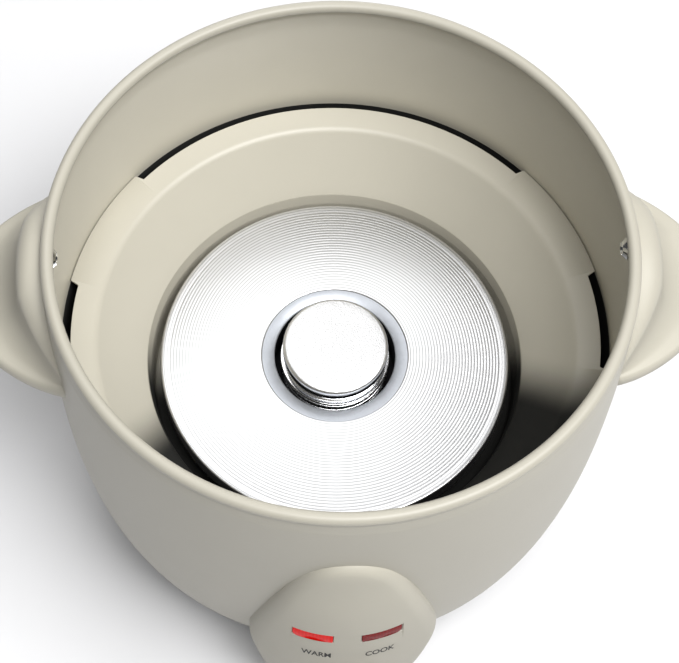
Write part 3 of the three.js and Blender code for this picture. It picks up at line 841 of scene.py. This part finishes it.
# handles and the screws that hold them from inside the body
handle = {
    "root": 85, "tip": 120.5, "halfWidth": 36.8, "power": 1.37, "top": 123.5, "under": 117.5, "edge": 2.8,
    "wall": 3.2, "sunk": 0.8, "domeHalf": 36.6, "domePower": 1.15, "columns": 72, "halfAngle": 23.4,
    "flare": [
        (90.2, 147.6), (95.5, 147), (98.8, 144), (99.8, 138.5), (101.5, 132.5), (104.5, 128.1), (109, 124.8),
        (114, 123.5),
    ],
    "screwZ": 141, "headRadius": 3.75, "headFace": 87.1, "headHeight": 2.4, "shank": 1.75, "screwLength": 10,
    "crossTurns": (35, 125), "crossRings": [(-0.6, 2.5, 0.62), (1.5, 1.0, 0.34)],
}


# distance from the body's axis to the handle's outline, found by halving
def outlineReach(angle):
    low, high = 80.0, handle["tip"]
    for _ in range(30):
        middle = (low + high) / 2
        x, y = middle * math.cos(angle), abs(middle * math.sin(angle))
        u = (x - handle["root"]) / (handle["tip"] - handle["root"])
        inside = u < 1 and y < handle["halfWidth"] * math.sqrt(max(0, 1 - max(u, 0) ** handle["power"]))
        low, high = (middle, high) if inside else (low, middle)
    return low


# one section of the handle at an angle round the body, from the wall out to the lower edge
def handleSection(angle, inset):
    reach = outlineReach(angle) - inset
    top, under, edge = handle["top"] - inset, handle["under"], max(handle["edge"] - inset, 0.4)
    start = acrossAt(wallLine, top) - handle["sunk"]
    flare = smoothLine(handle["flare"], 4)
    side = abs(reach * math.sin(angle)) / handle["domeHalf"]
    rise = math.sqrt(max(0, 1 - side ** 2)) ** handle["domePower"]
    flareEnd = flare[-1][0] - inset
    squeeze = min(1, max(0.02, (reach - edge - start) / (flareEnd - start)))
    section = []
    for r, z in flare:
        height = top + (z - handle["top"]) * rise
        outward = start + (r - inset - start) * squeeze
        section.append((outward, height))
    last = section[-1][0]
    flat = max(reach - edge - last, 0)
    section += [(last + flat * k / 4, top) for k in (1, 2, 3)]
    for k in range(7):
        t = math.pi / 2 * k / 6
        section.append((reach - edge * (1 - math.sin(t)), top - edge * (1 - math.cos(t))))
    low = edge if not inset else 0.3
    for k in range(5):
        t = math.pi / 2 * k / 4
        section.append((reach - low * (1 - math.cos(t)), under + low * (1 - math.sin(t))))
    return [(max(r, acrossAt(wallLine, z) - handle["sunk"]), z) for r, z in section]


def makeHandle(name, side):
    limit = math.radians(handle["halfAngle"])
    rings = []
    for i in range(handle["columns"] + 1):
        angle = limit * (2 * i / handle["columns"] - 1)
        ring = handleSection(angle, 0) + handleSection(angle, handle["wall"])[::-1]
        rings.append([polar(r * side, angle, z) for r, z in ring])
    made = piece(name, *loft(rings), greigePlastic, 45)
    return standFor(made, "handle_right" if side > 0 else "handle_left")


# a pan head with a cross recess, seen from inside the body
def makeHandleScrew(name, side):
    radius, height = handle["headRadius"], handle["headHeight"]
    shank, length = handle["shank"], handle["screwLength"]
    head = [
        (0, 0), (radius * 0.55, 0.12), (radius, height * 0.62, 0.9), (radius, height, 0.15),
        (shank, height), (shank, length), (0, length),
    ]
    start = (handle["headFace"] * side, 0, handle["screwZ"])
    made = piece(name, *turnedAlong(filleted(head, False), start, (side, 0, 0), 40), chromed)
    tools = []
    for degrees in handle["crossTurns"]:
        turn = Matrix.Rotation(math.radians(degrees), 3, "X")
        rings = []
        for depth, long, thick in handle["crossRings"]:
            x = (handle["headFace"] + depth) * side
            corners = [(-long, -thick), (long, -thick), (long, thick), (-long, thick)]
            middle = Vector((x, 0, handle["screwZ"]))
            rings.append([tuple(middle + turn @ Vector((0, a, b))) for a, b in corners])
        tools.append(loft(rings))
    cutAway(made, tools, 32)
    return standFor(made, "handle_screw_right" if side > 0 else "handle_screw_left")


for name, side in (("Right", 1), ("Left", -1)):
    makeHandle("handle" + name, side)
    makeHandleScrew("handleScrew" + name, side)
print("handles made")


# control pod; its face is (radius, height) about an axis of its own
pod = {
    "axisY": -60, "top": 121.5, "bottom": 9, "edge": 3.2, "wall": 2.2, "sunk": 0.7, "middle": (0, 66),
    "face": [
        (34, 8), (41, 14), (44, 26), (44.8, 45), (44, 65), (43, 80), (41, 95), (38, 108), (35.8, 117),
        (33.4, 123),
    ],
    "leverSlot": (8.8, 19.5, 36.3), "leverCut": (-120, -76), "windowCut": (30, 60),
    "windowLow": 76.8, "windowHigh": 82.9, "windowNear": 4.3, "windowFar": 17.2,
    "recessDepth": 0.35, "ledgeDepth": 0.2, "recessHalf": 17.4, "bevelFoot": 70.0, "bevelRun": 6,
    "faceRings": 24, "edgeRings": 6,
}
podLine = smoothLine(pod["face"])


# a point on the pod's face, or on a skin inside it
def podPoint(x, z, inset=0):
    radius = acrossAt(podLine, z) - inset
    return (x, pod["axisY"] - math.sqrt(max(radius ** 2 - x ** 2, 1)), z)


# the pod seen from the front, anticlockwise from the middle of its foot
def podOutline():
    def bezier(a, b, c, d, steps):
        for k in range(steps):
            t = k / steps
            yield tuple(
                (1 - t) ** 3 * p + 3 * (1 - t) ** 2 * t * q + 3 * (1 - t) * t ** 2 * r + t ** 3 * s
                for p, q, r, s in zip(a, b, c, d)
            )

    def straight(a, b, steps):
        for k in range(steps):
            yield tuple(p + (q - p) * k / steps for p, q in zip(a, b))

    top, bottom = pod["top"], pod["bottom"]
    half = [
        *straight((0, bottom), (13, bottom), 4),
        *bezier((13, bottom), (20, bottom), (24.2, 12.4), (25.5, 19), 8),
        *straight((25.5, 19), (30.6, 45), 9),
        *bezier((30.6, 45), (31, 48.3), (30.9, 51.7), (30.2, 55), 5),
        *bezier((30.2, 55), (26.8, 76), (19.5, 104), (12.3, 114.3), 20),
        *bezier((12.3, 114.3), (9.2, 118.7), (5.5, top), (0, top), 10),
    ]
    return half + [(0, top)] + [(-x, z) for x, z in reversed(half[1:])]


# rings of one skin of the pod, from the middle of its face out to the body wall
def podSkin(inset):
    outline = insetOutline(podOutline(), inset)
    edge = max(pod["edge"] - inset, 0.8)
    inner = insetOutline(outline, edge)
    middleX, middleZ = pod["middle"]
    rings = [[podPoint(middleX, middleZ, inset)]]
    for k in range(1, pod["faceRings"] + 1):
        share = k / pod["faceRings"]
        spread = [(middleX + (x - middleX) * share, middleZ + (z - middleZ) * share) for x, z in inner]
        rings.append([podPoint(x, z, inset) for x, z in spread])
    for k in range(1, pod["edgeRings"] + 1):
        t = math.pi / 2 * k / pod["edgeRings"]
        back = edge * (1 - math.cos(t))
        ring = []
        for x, z in insetOutline(outline, edge * (1 - math.sin(t))):
            px, py, pz = podPoint(x, z, inset)
            ring.append((px, py + back, pz))
        rings.append(ring)
    wall = []
    for (x, z), (_, y, _) in zip(outline, rings[-1]):
        reach = acrossAt(wallLine, z) - pod["sunk"]
        wall.append((x, max(-math.sqrt(reach ** 2 - x ** 2), y + 0.05), z))
    rings.append(wall)
    return rings


# a block that follows the pod's face: a profile of (radius, height) swept round the pod's axis
def podSweep(profile, fromX, toX, radius, steps=24):
    first, last = (math.asin(x / radius) for x in (fromX, toX))
    rings = []
    for k in range(steps + 1):
        angle = first + (last - first) * k / steps
        rings.append([(r * math.sin(angle), pod["axisY"] - r * math.cos(angle), z) for r, z in profile])
    return loft(rings)


def makePod():
    made = piece("pod", *loft(podSkin(0) + podSkin(pod["wall"])[::-1], capped=False), greigePlastic, 30)
    low, high, foot, run = (pod[key] for key in ("windowLow", "windowHigh", "bevelFoot", "bevelRun"))
    near, far = pod["windowCut"]
    faceRadius, footRadius = acrossAt(podLine, high), acrossAt(podLine, foot)
    floor, ledge = faceRadius - pod["recessDepth"], acrossAt(podLine, low) - pod["ledgeDepth"]
    bevelEnd = footRadius + run * (footRadius - ledge) / (low - foot)
    recess = [(floor, high), (ledge, low), (bevelEnd, foot - run), (far, foot - run), (far, high)]
    tools = [podSweep(recess, -pod["recessHalf"], pod["recessHalf"], faceRadius)]
    window = [(near, low), (far, low), (far, high - 0.02), (near, high - 0.02)]
    for side in (-1, 1):
        ends = sorted((side * pod["windowNear"], side * pod["windowFar"]))
        tools.append(podSweep(window, *ends, faceRadius, 12))
    half, slotLow, slotHigh = pod["leverSlot"]
    front, back = pod["leverCut"]
    tools.append(box((-half, front, slotLow), (half, back, slotHigh)))
    cutAway(made, tools, 30)
    return standFor(made, "control_pod")


makePod()

# red lenses in the pod's slot, leaning with its face
lens = {
    "low": 76.95, "high": 82.75, "near": 4.5, "far": 17, "inner": 39.6, "proud": 0.08, "lean": 0.13,
    "edge": 0.3, "outerCorner": 1.9, "innerCorner": 0.4, "step": 0.8,
}
lensFace = acrossAt(podLine, pod["windowHigh"]) - pod["recessDepth"] + lens["proud"]


def makeLens(name, node, side, finish):
    low, high = lens["low"], lens["high"]
    ends = [(side * lens["near"], lens["innerCorner"]), (side * lens["far"], lens["outerCorner"])]
    (left, leftCorner), (right, rightCorner) = sorted(ends)
    corners = [(left, low, leftCorner), (right, low, rightCorner)]
    corners += [(right, high, rightCorner), (left, high, leftCorner)]
    rough = filleted(corners, steps=5)
    outline = []
    for i, here in enumerate(rough):
        ahead = rough[(i + 1) % len(rough)]
        count = max(1, int(math.dist(here, ahead) / lens["step"]))
        outline += [tuple(p + (q - p) * k / count for p, q in zip(here, ahead)) for k in range(count)]

    def at(a, b, h):
        angle = math.asin(a / lensFace)
        reach = h + lens["lean"] * (lens["high"] - b) * (h - lens["inner"]) / (lensFace - lens["inner"])
        return (reach * math.sin(angle), pod["axisY"] - reach * math.cos(angle), b)

    made = piece(name, *slab(outline, lens["inner"], lensFace, 0, lens["edge"], at), finish, 50)
    return standFor(made, node)


# painted light: the warm lens is a brighter red with a stronger painted glow than the cook lens
warmRed = lensFinish("warm lens red", (0.62, 0.004, 0.003), (0.9, 0.006, 0.002), 0.32)
cookRed = lensFinish("cook lens red", (0.2, 0.004, 0.004), (0.25, 0.002, 0.002), 0.1)
makeLens("warmLens", "warm_lens", -1, warmRed)
makeLens("cookLens", "cook_lens", 1, cookRed)

# each word is (text, middle across, middle up)
letters = {
    "width": 9.4, "height": 4.2, "heavy": 0.018, "proud": 0.05,
    "words": [("WARM", -9.6, 65.6), ("COOK", 10.8, 65.6)],
}


# printed words that follow the curve of the pod's face
def makeWord(word, middle, z):
    text = bpy.data.curves.new(word, "FONT")
    text.body = word
    text.offset = letters["heavy"]
    holder = bpy.data.objects.new(word, text)
    scene.collection.objects.link(holder)
    flat = bpy.data.meshes.new_from_object(holder.evaluated_get(bpy.context.evaluated_depsgraph_get()))
    bpy.data.objects.remove(holder)
    work = bmesh.new()
    work.from_mesh(flat)
    bmesh.ops.triangulate(work, faces=work.faces)
    spans = []
    for axis in (0, 1):
        values = [vert.co[axis] for vert in work.verts]
        spans.append((min(values), max(values) - min(values)))
    (left, wide), (foot, tall) = spans
    for vert in work.verts:
        x = middle + ((vert.co.x - left) / wide - 0.5) * letters["width"]
        height = z + ((vert.co.y - foot) / tall - 0.5) * letters["height"]
        px, py, pz = podPoint(x, height)
        vert.co = Vector((px, py - letters["proud"], pz)) * mm
    work.to_mesh(flat)
    work.free()
    flat.materials.clear()
    flat.materials.append(ink)
    made = bpy.data.objects.new("word" + word.capitalize(), flat)
    scene.collection.objects.link(made)
    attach(made, bodyOf["control_pod"])


for word in letters["words"]:
    makeWord(*word)
print("pod, lenses and lettering made")


# cook lever; its blocks are (half width, front, back, low, high)
lever = {
    "neck": (8, -106.6, -90, 29, 35), "paddle": (13, -113, -105.5, 27.5, 36.5), "corner": 5.5,
    "backCorner": 1.2, "edge": 1.5, "neckEdge": 0.8,
    "ribs": 3, "ribHalf": 7, "ribWide": 0.35, "ribPitch": 1.5, "ribStart": 1.9, "ribSunk": 0.6,
    "ribGap": 0.02,
}


def makeLever():
    half, front, back, low, high = lever["neck"]
    neck = roundedRectangle(half, front, back, 1)
    parts = [slab(neck, low, high, lever["neckEdge"], lever["neckEdge"])]
    half, front, back, low, high = lever["paddle"]
    corner, backCorner, wide = lever["corner"], lever["backCorner"], lever["ribWide"]
    corners = [(half, front, corner), (half, back, backCorner)]
    corners += [(-half, back, backCorner), (-half, front, corner)]
    paddle = filleted(corners, steps=8)
    parts.append(slab(paddle, low, high, lever["edge"], lever["edge"], steps=5))
    for i in range(lever["ribs"]):
        y = back - lever["ribStart"] - lever["ribPitch"] * i
        rib = roundedRectangle(lever["ribHalf"], y - wide, y + wide, 0.3, 3)
        parts.append(slab(rib, high - lever["ribSunk"], high - lever["ribGap"], 0, 0.25))
    return standFor(piece("lever", *merged(*parts), greigePlastic, 40), "cook_lever")


makeLever()


# base cover with vents, holes and turned lines
base = {
    "radius": 77, "low": 4.2, "high": 5.9, "edge": 0.8, "slots": 7, "slotPitch": 9, "slotHalf": 1.6,
    "slotReach": 30, "slotStep": 3, "screwHole": 2.1, "footCircle": 62, "footHole": 2.6, "drillTop": 10,
    "lines": (40, 46, 68), "lineDepth": 0.4,
}


def makeBase():
    low, high, radius, top = (base[key] for key in ("low", "high", "radius", "drillTop"))
    profile = filleted([(0, low), (radius, low, base["edge"]), (radius, high, 0.3), (0, high)], False)
    made = piece("base", *turned(profile, 128), darkPlastic, 30)
    tools = []
    for i in range(base["slots"]):
        step = i - (base["slots"] - 1) / 2
        reach, x = base["slotReach"] - base["slotStep"] * abs(step), step * base["slotPitch"]
        half = base["slotHalf"]
        slot = roundedRectangle(half, -reach, reach, half * 0.95)
        tools.append(slab([(x + a, b) for a, b in slot], 0, top, 0, 0))
    feet = [polar(base["footCircle"], math.radians(angle), 0)[:2] for angle in (45, 135, 225, 315)]
    for places, hole in ((studPlaces(), base["screwHole"]), (feet, base["footHole"])):
        tools += [turned([(0, 0), (hole, 0), (hole, top), (0, top)], 32, place) for place in places]
    for middle in base["lines"]:
        groove = [(middle - 0.5, low - 1), (middle + 0.5, low - 1)]
        groove += [(middle + 0.3, low + base["lineDepth"]), (middle - 0.3, low + base["lineDepth"])]
        tools.append(turned(groove, 128))
    cutAway(made, tools, 30)
    return standFor(made, "base_cover")


# rubber foot with a dimple and a peg
foot = {
    "profile": [
        (0, 0.35), (2.6, 0.35, 0.2), (3.1, 0, 0.25), (6.2, 0, 0.9), (7.5, 1.4, 0.6), (8, 3.9, 0.4),
        (2.2, 3.9, 0.2), (2.2, 7.4, 0.5), (0, 7.4),
    ],
}


def makeFoot(index):
    low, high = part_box(f"foot_{index}")
    centre = ((low.x + high.x) / 2 / mm, (low.y + high.y) / 2 / mm)
    profile = filleted(foot["profile"], False)
    return standFor(piece(f"foot{index}", *turned(profile, 48, centre), footRubber, 40), f"foot_{index}")


# power inlet, with a lip round its socket and two pins
inlet = {
    "half": 22, "low": 20, "high": 50, "corner": 6, "face": 111, "edge": 1.6, "lip": 2.2, "lipDepth": 0.6,
    "socket": (13, 26.5, 43.5, 5), "floor": 94, "root": 84, "rootInset": 8, "sunk": 0.8,
    "pinX": 6.7, "pinZ": 35, "pinRadius": 2, "pinLength": 23.5, "pinTip": 1.3,
}


def makeInlet():
    outline = roundedRectangle(inlet["half"], inlet["low"], inlet["high"], inlet["corner"], 8)

    def wallAt(x, z):
        return math.sqrt((acrossAt(wallLine, z) - inlet["sunk"]) ** 2 - x ** 2)

    half, low, high, corner = inlet["socket"]
    face, edge, lip = inlet["face"], inlet["edge"], inlet["lip"]
    socket = roundedRectangle(half, low, high, corner, 8)
    groove = roundedRectangle(half + lip, low - lip, high + lip, corner + lip, 8)
    rings = [
        [(x, inlet["root"], z) for x, z in insetOutline(outline, inlet["rootInset"])],
        [(x, wallAt(x, z), z) for x, z in outline],
    ]
    for k in range(6):
        t = math.pi / 2 * k / 5
        inset = insetOutline(outline, edge * (1 - math.cos(t)))
        rings.append([(x, face - edge * (1 - math.sin(t)), z) for x, z in inset])
    step = face - inlet["lipDepth"]
    for ring, y in ((groove, face), (groove, step), (socket, step), (socket, inlet["floor"])):
        rings.append([(x, y, z) for x, z in ring])
    made = piece("inlet", *loft(rings), greigePlastic, 35)
    return standFor(made, "power_inlet")


def makeInletPin(name, side):
    radius, length = inlet["pinRadius"], inlet["pinLength"]
    profile = filleted([(0, 0), (radius, 0), (radius, length - 0.1, inlet["pinTip"]), (0, length)], False, 6)
    start = (side * inlet["pinX"], inlet["root"], inlet["pinZ"])
    made = piece("inletPin" + name, *turnedAlong(profile, start, (0, 1, 0), 32), chromed)
    return standFor(made, "inlet_pin_" + name.lower())


makeBase()
for index in (1, 2, 3, 4):
    makeFoot(index)
makeInlet()
makeInletPin("Left", -1)
makeInletPin("Right", 1)
print("lever, base, feet and inlet made")


# finishes on the CAD nodes that stay
shown = 0
for name, node in frame["nodes"].items():
    if node.hide_render:
        continue
    finish = ownFinishes.get(name) or carried[slotOf[name]]
    node.data.materials.clear()
    node.data.materials.append(finish)
    shown += 1
print("carried nodes finished:", shown)


# floor and light, in metres; a light is (name, place, watts)
studio = {
    "floorHalf": 6.0, "floorColour": (0.7, 0.7, 0.71), "sky": (0.93, 0.96, 1.0), "skyStrength": 0.05,
    "aim": (0, 0, 0.09), "lampSize": 0.9,
    "lights": [
        ("key", (0.6, -0.36, 1.42), 20),
        ("front", (0.14, -0.5, 1.51), 17.5),
        ("overhead", (-0.12, 0.75, 1.39), 5.4),
        ("back", (0, 1.449, 0.488), 6),
    ],
}


def makeFloor():
    half = studio["floorHalf"]
    corners = [(-half, -half, 0), (half, -half, 0), (half, half, 0), (-half, half, 0)]
    mesh = bpy.data.meshes.new("floor")
    mesh.from_pydata(corners, [], [(0, 1, 2, 3)])
    floor = bpy.data.objects.new("floor", mesh)
    scene.collection.objects.link(floor)
    finish = Finish("floor paper", Specular_IOR_Level=0.2)
    grain = finish.noise(60, 3)
    tone = finish.mixed(grain, shade(studio["floorColour"], 0.99), studio["floorColour"])
    mesh.materials.append(finish.surface(Base_Color=tone, Roughness=0.7 + grain * 0.1))


def makeLights():
    target = Vector(studio["aim"])
    for name, place, power in studio["lights"]:
        lamp = bpy.data.lights.new(name, "AREA")
        lamp.shape = "DISK"
        lamp.size = studio["lampSize"]
        lamp.energy = power
        holder = bpy.data.objects.new(name, lamp)
        holder.location = place
        holder.rotation_euler = (target - Vector(place)).to_track_quat("-Z", "Y").to_euler()
        scene.collection.objects.link(holder)
    world = bpy.data.worlds.new("studio")
    world.use_nodes = True
    background = world.node_tree.nodes["Background"]
    background.inputs["Color"].default_value = (*studio["sky"], 1)
    background.inputs["Strength"].default_value = studio["skyStrength"]
    scene.world = world


makeFloor()
makeLights()
scene.view_settings.view_transform = "Standard"
print("floor and light ready")
